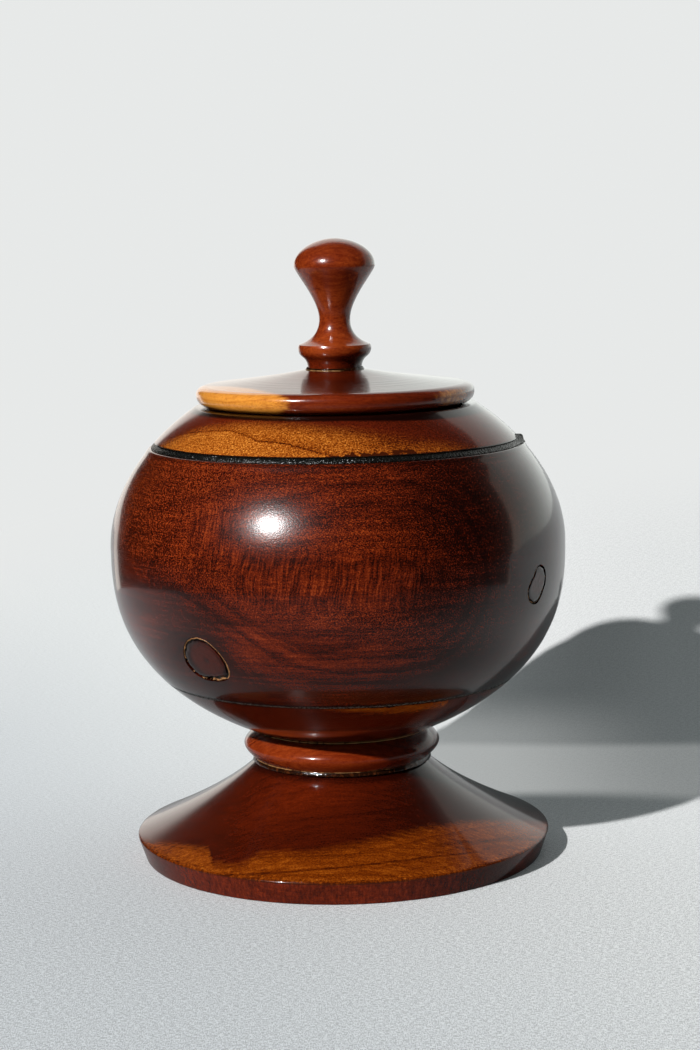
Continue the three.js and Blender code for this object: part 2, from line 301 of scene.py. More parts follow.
def clothMaterial():
    # pale cotton with a fine weave, lighter towards the back, and evenly bright on its slopes
    material, shade, spot, (x, y, z) = newMaterial("paleCloth")
    weave = shade.noise((x * 0.7, y * 3.4, 0), 1, 1) + shade.noise((x * 3.4, y * 0.9, 5), 1, 1)
    depth = (y + x * 2.2).ease(-260, 180)
    plain = shade.mix(depth, stage["clothFront"], stage["clothRear"])
    normal = shade.add("ShaderNodeNewGeometry", output="Normal")
    facing = {0: normal, 1: stage["lampDirection"]}
    facing = shade.add("ShaderNodeVectorMath", {"operation": "DOT_PRODUCT"}, facing, "Value")
    even = ((stage["lampDirection"][2] / facing.above(0.1)) ** 0.7).above(0.55)
    plain = shade.mix(even, (0, 0, 0), plain)
    # the varnish mirrors a dimmer cloth, most of all in front on the right
    isGlossy = shade.add("ShaderNodeLightPath", output="Is Glossy Ray")
    far = (x * x + y * y) ** 0.5 + 1
    dim = y.ease(-20, -160) * 0.4 + x.ease(-20, 80) * y.ease(-150, -230) * 0.2 + far.ease(190, 90) * 0.25
    dim = isGlossy * (dim + 0.36).below(0.9)
    plain = shade.mix(dim, plain, (0, 0, 0))
    threads = weave.ease(0.8, 1.2) * y.ease(120, -100, 0.4, 1)
    woven = shade.mix(threads, plain, stage["threadShade"], "MULTIPLY")
    values = {"Color": woven, "Normal": shade.bump(weave, 0.25, 0.0002)}
    surface = shade.add("ShaderNodeBsdfDiffuse", {}, values)
    # the cloth melts into the backdrop towards its edge, and where it climbs
    behind = ((x * 0.5 + y * 0.866) / far).ease(0.45, 0.85) * (stage["fadeReach"] * 1000)
    fade = (far / (behind + stage["clothRadius"] * 1000)).ease(stage["fadeFrom"], 0.98)
    fade = (fade * z.ease(60, 20)).above(z.ease(50, 85)).above(far.ease(300, 420) * x.ease(0, 60))
    isCamera = shade.add("ShaderNodeLightPath", output="Is Camera Ray")
    backdrop = shade.glow(stage["backdropColour"])
    # painted light: near the box the cloth glows a little, brightening the box's shadow
    lit = shade.glow(stage["shadowLit"])
    seen = (y + z * 5).ease(140, 124) * 0.22 + (y + z * 5).ease(230, 140) * x.ease(115, 45) * 0.3
    seen = seen * (y + x * 0.25).ease(62, 74) * x.ease(12, 30)
    surface = shade.add("ShaderNodeMixShader", {}, {0: isCamera * seen, 1: surface, 2: lit})
    surface = shade.add("ShaderNodeMixShader", {}, {0: isCamera * fade, 1: surface, 2: backdrop})
    finishMaterial(shade, surface)
    return material


def addCloth():
    cloth = bpy.data.objects.new("cloth", clothMesh())
    scene.collection.objects.link(cloth)
    cloth.data.materials.append(clothMaterial())


addCamera()
addLight()
addWorld()
addCloth()
print("camera, lamp and cloth are up")

# Turning: every wooden piece is an outline of (radius, height) in millimetres, turned round the axis


def bend(start, *places, steps=10):
    # a curve with one or two control points before its end, without its start
    places = (start, *places)
    degree, points = len(places) - 1, []
    for i in range(1, steps + 1):
        t = i / steps
        shares = [comb(degree, k) * (1 - t) ** (degree - k) * t**k for k in range(degree + 1)]
        points.append(tuple(sum(a * b for a, b in zip(shares, axis)) for axis in zip(*places)))
    return points


def line(start, end, steps):
    # a straight stretch cut into steps, without its start
    return [tuple(p + (q - p) * i / steps for p, q in zip(start, end)) for i in range(1, steps + 1)]


def path(start, *stretches):
    # straight stretches, each given by its end and its steps, without the start
    points = [start]
    for end, steps in stretches:
        points += line(points[-1], end, steps)
    return points[1:]


def rounded(before, corner, after, radius, steps=4):
    # replaces a sharp corner by a small curve
    def along(target):
        reach = hypot(target[0] - corner[0], target[1] - corner[1])
        share = min(radius / reach, 0.5)
        return tuple(c + (t - c) * share for c, t in zip(corner, target))

    start = along(before)
    return [start] + bend(start, corner, along(after), steps=steps)


def lift(points, height):
    return [(r, z + height) for r, z in points]


def newPiece(name, points, faces, node, body, material, sharp=35):
    mesh = bpy.data.meshes.new(name)
    mesh.from_pydata(points, [], faces)
    shaped = bmesh.new()
    shaped.from_mesh(mesh)
    bmesh.ops.recalc_face_normals(shaped, faces=shaped.faces)
    shaped.to_mesh(mesh)
    shaped.free()
    for face in mesh.polygons:
        face.use_smooth = True
    mesh.set_sharp_from_angle(angle=radians(sharp))
    piece = bpy.data.objects.new(name, mesh)
    scene.collection.objects.link(piece)
    mesh.materials.append(material)
    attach(piece, body)
    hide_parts(node)
    return piece


def turn(outline, sides, shift=None, skip=None):
    # points and faces of an outline turned round the axis; shift moves a point, skip leaves a cell out
    points, rings, faces = [], [], []
    for i, (r, z) in enumerate(outline):
        if r < 0.001:
            rings.append([len(points)])
            points.append((0, 0, z * mm))
            continue
        ring = []
        for k in range(sides):
            angle = 2 * pi * k / sides
            radius, height = shift(angle, r, z) if shift else (r, z)
            ring.append(len(points))
            points.append((radius * sin(angle) * mm, -radius * cos(angle) * mm, height * mm))
        rings.append(ring)
    closed = len(rings[0]) > 1 and len(rings[-1]) > 1
    for i in range(len(rings) if closed else len(rings) - 1):
        low, high = rings[i], rings[(i + 1) % len(rings)]
        for k in range(sides):
            if skip and skip(i, k):
                continue
            m = (k + 1) % sides
            if len(low) == 1:
                faces.append((low[0], high[m], high[k]))
            elif len(high) == 1:
                faces.append((low[k], low[m], high[0]))
            else:
                faces.append((low[k], low[m], high[m], high[k]))
    return points, faces, rings


def turnPiece(name, outline, sides, node, body, slot, material, sharp=35, shift=None):
    points, faces, rings = turn(outline, sides, shift)
    newPiece(name, points, faces, node, body, material, sharp)


def rough(angle, spread, seed, octaves=3):
    # smooth noise round the axis, about -1 to 1
    spot = Vector((spread * cos(angle), spread * sin(angle), seed))
    return noise.fractal(spot, 1.0, 2.0, octaves)


# Wood: fibres run along X in every piece; heartwood is dark red, and sapwood orange


def grain(shade, look, x, y, z):
    # what every piece of wood shares: streaks, fibres, pores, fine speckle and broad changes
    waver = shade.noise((x * 0.02, y * 0.05, z * 0.05), 1, 2) - 0.5
    height, depth = z + waver * look["waver"], y + waver * look["waver"]
    streaks = shade.noise((x * 0.06, depth * 0.8, height * 0.8), 1, 5, 0.62)
    fibres = shade.noise((x * 0.35, depth * 1.7, height * 1.7), 1, 2, 0.6)
    pores = shade.noise((x * 0.6 + 40, depth * 2.6, height * 2.6), 1, 1, 0.5).ease(0.55, 0.7)
    speckle = shade.noise((x * 2.2, y * 3, z * 3), 1, 1, 0.5)
    broad = shade.noise((x * 0.013, depth * 0.045, height * 0.045 + look["seed"]), 1, 2)
    return streaks, fibres, pores, speckle, broad


def growth(shade, ringField, spacing, seed):
    # how dark the late wood of each ring is, from a field in millimetres
    rings = ringField / spacing + seed
    within = shade.math("FRACT", rings)
    which = rings - within
    strength = shade.bands(which * 0.73, 1, 1).ease(0.3, 0.75)
    late = within.ease(0.45, 0.97) * (1 - within.ease(0.985, 1.0))
    return late * strength


def varnished(shade, colour, relief, look):
    # a clear gloss coat over wood with a soft sheen; fine relief makes the sheen sparkle
    values = {
        "Base Color": colour,
        "Roughness": look["sheen"],
        "IOR": 1.45,
        "Specular IOR Level": look["sheenLevel"],
        "Coat Weight": 1.0,
        "Coat Roughness": look["gloss"],
        "Coat IOR": look["coat"],
        "Normal": shade.bump(relief, look["reliefStrength"], 0.0001),
    }
    return shade.add("ShaderNodeBsdfPrincipled", {}, values)


heartRamp = [
    (0.0, (0.006, 0.0010, 0.0005)),
    (0.3, (0.028, 0.0030, 0.0008)),
    (0.5, (0.078, 0.0076, 0.0014)),
    (0.7, (0.16, 0.0165, 0.0026)),
    (1.0, (0.34, 0.054, 0.0085)),
]
sapRamp = [
    (0.0, (0.05, 0.008, 0.0012)),
    (0.3, (0.17, 0.028, 0.0014)),
    (0.55, (0.36, 0.085, 0.006)),
    (0.8, (0.56, 0.17, 0.018)),
    (1.0, (0.84, 0.33, 0.045)),
]

plainLook = {
    "waver": 3.0,
    "seed": 0.0,
    "tone": 0.5,
    "broad": 0.5,
    "streak": 0.45,
    "fibre": 0.4,
    "pore": 0.26,
    "speckle": 0.25,
    "ring": 0.22,
    "ringSpacing": 3.2,
    "sapTone": 0.56,
    "sapTexture": 1.0,
    "sapEdge": 0.6,
    "smears": (),
    "smearWidth": 0.45,
    "gloss": 0.08,
    "coat": 1.34,
    "sheen": 0.24,
    "sheenLevel": 0.42,
    "reliefStrength": 0.3,
}


def smeared(shade, colour, spot, z, heights, width):
    # black filler rubbed into the wood beside a joint, here and there
    ragged = shade.noise(spot, 0.15, 1).ease(0.38, 0.6, 0.3, 1)
    ragged = ragged * shade.noise(spot, 0.9, 2).ease(0.3, 0.7, 0.5, 1.2)
    for height in heights:
        mask = (abs(z - height) - ragged * width).ease(0.12, -0.08)
        colour = shade.mix(mask, colour, (0.006, 0.005, 0.004))
    return colour


def woodMaterial(name, changes, ringField, sapField=None, extra=None):
    # ringField, sapField and extra are made from the shade and the x, y and z in millimetres
    look = {**plainLook, **changes}
    material, shade, spot, axes = newMaterial(name)
    streaks, fibres, pores, speckle, broad = grain(shade, look, *axes)
    warp = (shade.noise(spot, 0.045, 2) - 0.5) * 5 + (streaks - 0.5) * 1.2
    late = growth(shade, ringField(shade, *axes) + warp, look["ringSpacing"], look["seed"] * 0.37 + 20)
    texture = (
        (streaks - 0.5) * look["streak"]
        + (fibres - 0.5) * look["fibre"]
        - pores * look["pore"]
        + (speckle - 0.5) * look["speckle"]
    )
    late = late * look["ring"]
    tone = look["tone"] + (broad - 0.5) * look["broad"] - late + texture
    sapTone = look["sapTone"] + (broad - 0.5) * 0.3 - late * 1.1 + texture * look["sapTexture"]
    if extra:
        tone, sapTone = extra(shade, tone, sapTone, *axes)
    colour = tone.ramp(heartRamp)
    if sapField:
        border = sapField(shade, *axes) + (streaks - 0.5) * 2.2 + (fibres - 0.5) * 0.8
        sap = border.ease(-look["sapEdge"], look["sapEdge"])
        colour = shade.mix(sap, colour, sapTone.ramp(sapRamp))
    if look["smears"]:
        colour = smeared(shade, colour, spot, axes[2], look["smears"], look["smearWidth"])
    relief = speckle * 0.7 + fibres * 0.3 + streaks * 0.5
    finishMaterial(shade, varnished(shade, colour, relief, look))
    return material


def bulge(shade, x, y, z, centre, reach):
    # 1 at a point, falling off round it
    away = (x - centre[0]) ** 2 + (y - centre[1]) ** 2 + (z - centre[2]) ** 2
    return shade.math("EXPONENT", away * (-1 / reach**2))


def patches(shade, x, y, z, places):
    # soft patches, each given by its centre, reach and strength
    return sum(bulge(shade, x, y, z, centre, reach) * strength for centre, reach, strength in places)


# Foot

foot = {
    "height": 27.8,
    "rimRadius": 60.8,
    "rimHeight": 6.8,
    "standRadius": 58.5,
    "neckRadius": 25.2,
    "flareTurn": (35.8, 17.6),
    "hollowRadius": 51.0,
    "hollowDepth": 1.6,
    "mortiseRadius": 12.3,
    "mortiseDepth": 11.3,
    "rimRound": 0.7,
    "sides": 384,
}


def footOutline():
    f = foot
    rim, neck = (f["rimRadius"], f["rimHeight"]), (f["neckRadius"], f["height"])
    flare = [rim] + bend(rim, f["flareTurn"], neck, steps=60)
    centre = (0, f["hollowDepth"])
    hollow = [centre] + bend(centre, (f["hollowRadius"] / 2, centre[1]), (f["hollowRadius"], 0), steps=24)
    stand = (f["standRadius"], 0)
    outline = hollow + line(hollow[-1], stand, 4)[:-1]
    outline += rounded(hollow[-1], stand, rim, 0.4)
    outline += line(outline[-1], rim, 8)[:-1]
    outline += rounded(outline[-1], rim, flare[2], f["rimRound"], 6) + flare[3:]
    mortise, floor = f["mortiseRadius"], f["height"] - f["mortiseDepth"]
    return outline + path(neck, ((mortise, f["height"]), 6), ((mortise, floor), 4), ((0, floor), 3))


def footBorder(x):
    # the sapwood's edge on the front of the foot, as y for each x, with a tongue of heartwood on the left
    tongue = x.ease(-38.4, -36.4) * x.ease(-22, -31)
    return x * (0.2025 + x * (0.01103 - x * 0.0000376)) - 47.2 - tongue * 6


def footRings(shade, x, y, z):
    return y * 0.8 - footBorder(x) * 0.8 + z * 0.4


def footSap(shade, x, y, z):
    return (footBorder(x) - y) - z.ease(6.6, 5.2) * 60


def footMaterial():
    def rimTicksAndPaintedLight(shade, tone, sapTone, x, y, z):
        # upright fibre ends along the rim, one thin growth line in the sapwood, painted shade in the crease
        # at the neck and on the right, and painted sunlight on the left
        side = shade.noise((x * 1.3, y * 1.3, z * 0.16), 1, 2, 0.7)
        face = z.ease(7.4, 6.2)
        ticks = (side - 0.47) * z.ease(8.4, 6.9)
        offset = y - (x * (0.1116 + x * 0.00682) - 54.6) + (side - 0.5) * 0.4
        thin = abs(offset).ease(0.6, 0.1) * x.ease(44, 30)
        band = abs(offset - 4.2 - x * 0.02).ease(1.6, 0) * x.ease(16, 30)
        # painted shade in the crease beside the collar
        neck = ((x * x + y * y) ** 0.5).ease(27.8, 25.6)
        sapTone = sapTone + ticks * 1.1 - face * 0.42 - thin * 0.2 - band * 0.13
        # painted shade on the right, and painted sunlight on the front left
        tone = tone - x.ease(0, 34) * 0.18 + bulge(shade, x, y, z, (-14, -28, 25), 16) * 0.12
        sapTone = sapTone + bulge(shade, x, y, z, (-42, -36, 8), 16) * 0.12
        return tone + ticks * 0.6 + face * 0.12 - neck * 0.24, sapTone

    look = {
        "tone": 0.435, "seed": 3.0, "ringSpacing": 3.4, "ring": 0.09, "broad": 0.4, "streak": 0.3,
        "fibre": 0.16, "pore": 0.05, "speckle": 0.3, "sapTone": 0.3, "sapTexture": 2.1,
        "sapEdge": 2.6, "sheenLevel": 0.08,
    }
    return woodMaterial("footWood", look, footRings, footSap, rimTicksAndPaintedLight)


def buildFoot():
    turnPiece("footTurned", footOutline(), foot["sides"], "foot", "box", "foot_wood", footMaterial())


buildFoot()
print("foot turned")

# Collar

collar = {
    "seat": 27.85,
    "height": 9.5,
    "footRadius": 24.4,
    "beadRadius": 28.8,
    "beadHeight": 5.0,
    "topRadius": 24.8,
    "pull": 0.65,
    "tenonRadius": 12.0,
    "lowerTenon": 11.0,
    "upperTenon": 5.0,
    "sides": 320,
}


def collarOutline():
    c = collar
    bead = (c["beadRadius"], c["beadHeight"])
    start, top = (c["footRadius"], 0), (c["topRadius"], c["height"])
    lower = bend(start, (c["beadRadius"], c["beadHeight"] * c["pull"]), bead, steps=18)
    upperRise = c["height"] - c["beadHeight"]
    upper = bend(bead, (c["beadRadius"], c["beadHeight"] + upperRise * (1 - c["pull"])), top, steps=18)
    tenon, low, high = c["tenonRadius"], -c["lowerTenon"], c["height"] + c["upperTenon"]
    outline = [(0, low)] + path((0, low), ((tenon, low), 3), ((tenon, 0), 4), (start, 4)) + lower + upper
    outline += path(top, ((tenon, c["height"]), 4), ((tenon, high), 2), ((0, high), 3))
    return lift(outline, c["seat"])


def ringsRound(depth, height, stretch=1):
    # growth rings round a line along X
    def field(shade, x, y, z):
        return ((y - depth) ** 2 + (z - height) ** 2) ** 0.5 * stretch

    return field


def buildCollar():
    def sides(shade, tone, sapTone, x, y, z):
        # painted light: lighter and redder on the sunlit left, and painted shade on the right
        return tone + x.ease(4, -18) * 0.08 - x.ease(4, 22) * 0.28, sapTone

    look = {
        "tone": 0.76, "seed": 7.0, "ringSpacing": 1.9, "ring": 0.1, "broad": 0.3, "pore": 0.04,
        "fibre": 0.18, "sheenLevel": 0.16,
    }
    material = woodMaterial("collarWood", look, ringsRound(-90, -40), None, sides)
    turnPiece("collarTurned", collarOutline(), collar["sides"], "collar", "box", "collar_wood", material)


buildCollar()
print("collar turned")

# Bowl: three sections cut from one outline

bowl = {
    "underside": 37.4,
    "radius": 66.195,
    "widestAt": 55.0,
    "drop": 60.8,
    "rise": 52.9,
    "dropPowers": (2.6, 1.52),
    "risePowers": (1.9, 1.8),
    "wall": 7.0,
    "floor": 9.0,
    "boreTop": 92.22,
    "baseTop": 15.8,
    "bellyBottom": 15.85,
    "bellyFace": 16.5,  # its outer face starts above the ring, which lies in a rabbet
    "bellyLip": 0.28,
    "lowerRingTop": 16.45,
    "bellyTop": 83.25,
    "upperRingTop": 84.8,
    "shoulderBottom": 83.3,
    "mouth": 94.8,
    "mouthRadius": 32.0,
    "mortiseRadius": 12.3,
    "mortiseDepth": 5.3,
    "jointDepth": 3.0,
    "sides": 480,
    "baseSides": 400,
    "bellyRows": 132,
}


def bowlRadius(height, inset=0.0):
    # height above the underside; the widest place divides the two halves of the formula
    upper = height > bowl["widestAt"]
    reach = (bowl["rise"] if upper else bowl["drop"]) - inset
    heightPower, radiusPower = bowl["risePowers"] if upper else bowl["dropPowers"]
    share = min(abs(height - bowl["widestAt"]) / reach, 1)
    return (bowl["radius"] - inset) * (1 - share**heightPower) ** (1 / radiusPower)


def bowlSide(low, high, steps, inset=0.0):
    # points up the bowl's side at even steps along it
    fine = [low + (high - low) * i / 800 for i in range(801)]
    lengths = [0.0]
    for a, b in zip(fine, fine[1:]):
        lengths.append(lengths[-1] + hypot(b - a, bowlRadius(b, inset) - bowlRadius(a, inset)))
    points, j = [], 0
    for i in range(steps + 1):
        wanted = lengths[-1] * i / steps
        while j < 799 and lengths[j + 1] < wanted:
            j += 1
        share = (wanted - lengths[j]) / (lengths[j + 1] - lengths[j])
        height = fine[j] + (fine[j + 1] - fine[j]) * share
        points.append((bowlRadius(height, inset), height))
    return points, lengths[-1]


def baseOutline():
    b = bowl
    outer, length = bowlSide(0, b["baseTop"], 44)
    inner, length = bowlSide(b["floor"], b["baseTop"], 14, b["wall"])
    start, mortise = (0, b["mortiseDepth"]), b["mortiseRadius"]
    outline = [start] + path(start, ((mortise, b["mortiseDepth"]), 3), ((mortise, 0), 2), (outer[0], 4))
    outline += outer[1:] + line(outer[-1], inner[-1], 3) + inner[::-1][1:]
    return lift(outline + line(inner[0], (0, b["floor"]), 8), b["underside"])


def bellyRings(shade, x, y, z):
    # ovals round a point right of the middle, drawn out to the left and pushed aside by the knots
    across = x - 12
    squeeze = across.ease(-45, 45, 0.38, 0.88)
    up = z - 88
    tall = up * up.ease(-1, 1, 1.05, 0.9)
    ovals = ((across * squeeze) ** 2 + tall * tall) ** 0.5
    left = bulge(shade, x, y, z, leftKnot["place"], 16) * 14
    right = bulge(shade, x, y, z, rightKnot["place"], 10) * 6
    return ovals + left + right + y.ease(-20, 60) * 18


def baseSap(shade, x, y, z):
    # a thin orange streak under the joint at the front
    return (x * (0.18 + x * 0.0085) - 50.9 - y) - x.ease(28, 34) * 12


def shoulderBorder(x):
    return x * (x * (0.00943 + x * 0.00001) - 0.1489) - 45.9


def shoulderSap(shade, x, y, z):
    return shoulderBorder(x) - y


def shoulderRings(shade, x, y, z):
    return (y - shoulderBorder(x)) * 0.7 - z * 0.3


# Knots: a round branch, ringed by bark, seen end on in the belly's wall

leftKnot = {
    "name": "Left",
    "azimuth": -36.5,
    "height": 66.8,
    "centre": (-0.83, -0.51),
    "radius": 7.6,
    "lobes": [(2, 0.016, -21), (3, 0.057, -81), (4, 0.010, -80)],
    "bark": 1.05,
    "barkSwell": (0.7, -75),
    "crest": 0.75,
    "gaps": 0.55,
    "gapTowards": 215,
    "gold": 1.0,
    "points": 144,
}
rightKnot = {
    "name": "Right",
    "azimuth": 57.2,
    "height": 84.0,
    "centre": (-0.28, -0.28),
    "radius": 5.08,
    "lobes": [(2, 0.144, 107), (3, 0.039, -154), (4, 0.028, 13)],
    "bark": 0.5,
    "barkSwell": (0.35, -110),
    "crest": 0.5,
    "gaps": 0.7,
    "gapTowards": 10,
    "gold": 0.8,
    "points": 108,
}
knotDepth = 4.8
for knot in (leftKnot, rightKnot):
    knotRadius = bowlRadius(knot["height"] - bowl["underside"])
    knotAngle = radians(knot["azimuth"])
    knot["place"] = (knotRadius * sin(knotAngle), -knotRadius * cos(knotAngle), knot["height"])


def knotOutline(knot, inset=0.0):
    # the branch's edge in the wall's own plane: across to the right, and up along the wall
    points = []
    for i in range(knot["points"]):
        angle = 2 * pi * i / knot["points"]
        radius = knot["radius"]
        for lobe, size, phase in knot["lobes"]:
            radius += knot["radius"] * size * cos(lobe * angle - radians(phase))
        radius += 0.16 * rough(angle, 1.8, knot["radius"]) - inset
        points.append((knot["centre"][0] + radius * cos(angle), knot["centre"][1] + radius * sin(angle)))
    return points


def bellyLip(height):
    # the belly stands a little proud of the shoulder at their joint
    return bowl["bellyLip"] * eased(height, bowl["bellyTop"] - 2.4, bowl["bellyTop"] - 0.2)


class BellyWall:
    # the belly's outer face, found by azimuth and distance up the wall
    def __init__(self, steps):
        self.points, self.length = bowlSide(bowl["bellyFace"], bowl["bellyTop"], steps)
        self.points = [(r + bellyLip(z), z) for r, z in self.points]
        self.steps = steps

    def climb(self, height):
        # how far up the wall a height above the underside lies
        for i, (a, b) in enumerate(zip(self.points, self.points[1:])):
            if b[1] >= height:
                return self.length * (i + (height - a[1]) / (b[1] - a[1])) / self.steps
        return self.length

    def point(self, azimuth, climb, depth=0.0):
        place = min(max(climb / self.length * self.steps, 0), self.steps - 0.0001)
        i = int(place)
        (r0, z0), (r1, z1) = self.points[i], self.points[i + 1]
        share = place - i
        slope = hypot(r1 - r0, z1 - z0)
        outward, upward = (z1 - z0) / slope, (r0 - r1) / slope
        height = z0 + (z1 - z0) * share
        radius = bowlRadius(height) - outward * depth
        height += bowl["underside"] - upward * depth
        return (radius * sin(azimuth) * mm, -radius * cos(azimuth) * mm, height * mm)

    def knotPoint(self, knot, across, up, depth=0.0):
        height = knot["height"] - bowl["underside"]
        azimuth = radians(knot["azimuth"]) + across / bowlRadius(height)
        return self.point(azimuth, self.climb(height) + up, depth)


def bellyPiece(wall, material):
    sides, steps = bowl["sides"], wall.steps
    inner, length = bowlSide(bowl["bellyBottom"], bowl["bellyTop"], 60, bowl["wall"])
    edge = rounded(wall.points[-2], wall.points[-1], inner[-1], 0.3, 5)
    outline = wall.points[:-1] + edge[1:] + line(edge[-1], inner[-1], 3) + inner[::-1][1:]
    rabbet, low, face = wall.points[0][0] - bowl["jointDepth"], bowl["bellyBottom"], bowl["bellyFace"]
    outline += path(inner[0], ((rabbet, low), 3), ((rabbet, face), 2), (wall.points[0], 3))[:-1]
    stepUp = wall.length / steps
    windows = []
    for knot in (leftKnot, rightKnot):
        height = knot["height"] - bowl["underside"]
        stepAcross = bowlRadius(height) * 2 * pi / sides
        column = round(radians(knot["azimuth"]) / (2 * pi) * sides)
        row = round(wall.climb(height) / stepUp)
        reach = knot["radius"] + 2.5
        wide, tall = ceil(reach / stepAcross), ceil(reach / stepUp)
        windows.append((knot, column, row, wide, tall, stepAcross))

    def inWindow(i, k):
        for knot, column, row, wide, tall, stepAcross in windows:
            across = (k - column + sides // 2) % sides - sides // 2
            if -wide <= across < wide and row - tall <= i < row + tall:
                return True
        return False

    points, faces, rings = turn(lift(outline, bowl["underside"]), sides, None, inWindow)
    for window in windows:
        fillWindow(wall, points, faces, rings, *window)
    newPiece("bellyTurned", points, faces, "belly", "box", material)


def fillWindow(wall, points, faces, rings, knot, column, row, wide, tall, stepAcross):
    # joins the square hole in the grid to the knot's outline, and adds the pocket's wall and floor
    sides, height = bowl["sides"], knot["height"] - bowl["underside"]
    climb = wall.climb(height)
    shiftAcross = (column / sides * 2 * pi - radians(knot["azimuth"])) * bowlRadius(height)
    edge = knotOutline(knot)
    flat, owner = [], []
    for j in range(-tall, tall + 1):
        for k in range(-wide, wide + 1):
            spot = (k * stepAcross + shiftAcross, (row + j) * wall.length / wall.steps - climb)
            border = abs(j) == tall or abs(k) == wide
            gap = min(hypot(spot[0] - p[0], spot[1] - p[1]) for p in edge)
            if border or (gap > 0.45 and not inside(spot, edge)):
                flat.append(Vector(spot))
                owner.append(rings[row + j][(column + k) % sides])
    start = len(flat)
    for across, up in edge:
        flat.append(Vector((across, up)))
        owner.append(len(points))
        points.append(wall.knotPoint(knot, across, up))
    count = len(edge)
    edges = [(start + i, start + (i + 1) % count) for i in range(count)]
    found = delaunay_2d_cdt(flat, edges, [], 0, 1e-6)
    corners, triangles, origins = found[0], found[2], found[3]
    for triangle in triangles:
        middle = sum((corners[v] for v in triangle), Vector((0, 0))) / 3
        if not inside(middle, edge):
            faces.append(tuple(owner[origins[v][0]] for v in triangle))
    deep = len(points)
    for across, up in edge:
        points.append(wall.knotPoint(knot, across, up, knotDepth))
    rim = owner[start]
    for i in range(count):
        m = (i + 1) % count
        faces.append((rim + i, rim + m, deep + m, deep + i))
    faces.append(tuple(range(deep, deep + count)))


def inside(spot, edge):
    # whether a flat point lies within a closed outline
    found = False
    for (ax, ay), (bx, by) in zip(edge, edge[1:] + edge[:1]):
        if (ay > spot[1]) != (by > spot[1]):
            if spot[0] < ax + (bx - ax) * (spot[1] - ay) / (by - ay):
                found = not found
    return found


def barkWidth(knot, angle):
    swell, towards = knot["barkSwell"]
    near = max(0, cos(angle - radians(towards)))
    wander = rough(angle, 2.6, 4 + knot["radius"])
    return max(0.3, knot["bark"] * (1 + 0.45 * wander) + swell * near**3)


def knotRings(knot, shares, gap):
    # outlines between the middle of the branch (0) and the inner edge of its bark (1)
    edge = knotOutline(knot)
    cx, cy = knot["centre"]
    rings = []
    for share in shares:
        ring = []
        for x, y in edge:
            angle, radius = atan2(y - cy, x - cx), hypot(x - cx, y - cy)
            reach = (radius - barkWidth(knot, angle) - gap) * share
            ring.append((cx + reach * cos(angle), cy + reach * sin(angle)))
        rings.append(ring)
    return rings


def addLoop(points, loops, places):
    loops.append(list(range(len(points), len(points) + len(places))))
    points += places


def loft(loops):
    # faces between successive closed loops of point numbers
    faces = []
    for low, high in zip(loops, loops[1:]):
        count = len(low)
        faces += [(low[i], low[(i + 1) % count], high[(i + 1) % count], high[i]) for i in range(count)]
    return faces


def knotPiece(wall, knot, material):
    # the branch: a slightly hollowed face, and a plug into the wall
    count = knot["points"]
    shares = [i / 14 for i in range(1, 15)]
    points = [wall.knotPoint(knot, *knot["centre"], 0.1)]
    loops = []
    for share, ring in zip(shares, knotRings(knot, shares, 0.04)):
        sink = 0.1 - 0.08 * share**2 + 0.16 * max(0, share - 0.9) * 10
        ripples = [0.03 * noise.noise(Vector((x * 0.9, y * 0.9, 2))) for x, y in ring]
        places = [wall.knotPoint(knot, x, y, sink + ripple) for (x, y), ripple in zip(ring, ripples)]
        addLoop(points, loops, places)
    addLoop(points, loops, [wall.knotPoint(knot, x, y, knotDepth - 0.05) for x, y in ring])
    faces = [(0, loops[0][(i + 1) % count], loops[0][i]) for i in range(count)]
    faces += loft(loops) + [tuple(loops[-1])]
    node = "knot_" + knot["name"].lower()
    newPiece("knot" + knot["name"] + "Branch", points, faces, node, "box", material)


def barkPiece(wall, knot, material):
    # torn bark round the branch: strands that nearly reach the surface, and gaps that fall away
    count = knot["points"]
    outer = knotOutline(knot, 0.03)
    inner = knotRings(knot, [1], -0.02)[0]
    shares = [i / 8 for i in range(9)]
    points, loops, strand = [], [], []
    for share in shares:
        places = []
        for i in range(count):
            angle = 2 * pi * i / count
            across = inner[i][0] + (outer[i][0] - inner[i][0]) * share
            up = inner[i][1] + (outer[i][1] - inner[i][1]) * share
            crest = knot["crest"] + 0.3 * rough(angle, 2.2, 9)
            torn = rough(angle, 5, 3)
            open = max(0, cos(angle - radians(knot["gapTowards"]))) * knot["gaps"]
            gap = min(max((torn + open - 0.35) * 3, 0), 1)
            ridge = max(0, 1 - abs(share - crest) / 0.38)
            strand.append(ridge * (1 - gap) * knot["gold"])
            sink = 0.06 + 0.5 * (1 - ridge) + 1.1 * gap * (0.3 + share)
            places.append(wall.knotPoint(knot, across, up, sink))
        addLoop(points, loops, places)
    for ring in (outer, inner):
        addLoop(points, loops, [wall.knotPoint(knot, x, y, knotDepth - 0.1) for x, y in ring])
    faces = loft(loops) + loft([loops[-1], loops[0]])
    node = "knot_" + knot["name"].lower() + "_bark"
    piece = newPiece("knot" + knot["name"] + "Bark", points, faces, node, "box", material, 60)
    layer = piece.data.attributes.new("strand", "FLOAT", "POINT")
    for i, value in enumerate(strand):
        layer.data[i].value = value


def branchMaterial(name, knot):
    # end grain: rings round a dark pith, darker towards the bark
    look = {**plainLook, "gloss": 0.16}
    material, shade, spot, (x, y, z) = newMaterial(name)
    px, py, pz = knot["place"]
    away = ((x - px) ** 2 + (y - py) ** 2 + (z - pz) ** 2) ** 0.5
    warp = (shade.noise(spot, 0.25, 2) - 0.5) * 2.2
    late = growth(shade, away + warp, 1.25, 3)
    rays = shade.noise(spot, 1.4, 3) - 0.5
    pith = away.ease(1.1, 0.3)
    edge = (away + warp * 0.4).ease(knot["radius"] - 2.7, knot["radius"] - 1.3)
    tone = 0.41 - late * 0.18 + rays * 0.24 - pith * 0.22 - edge * 0.3
    finishMaterial(shade, varnished(shade, tone.ramp(heartRamp), rays, look))
    return material


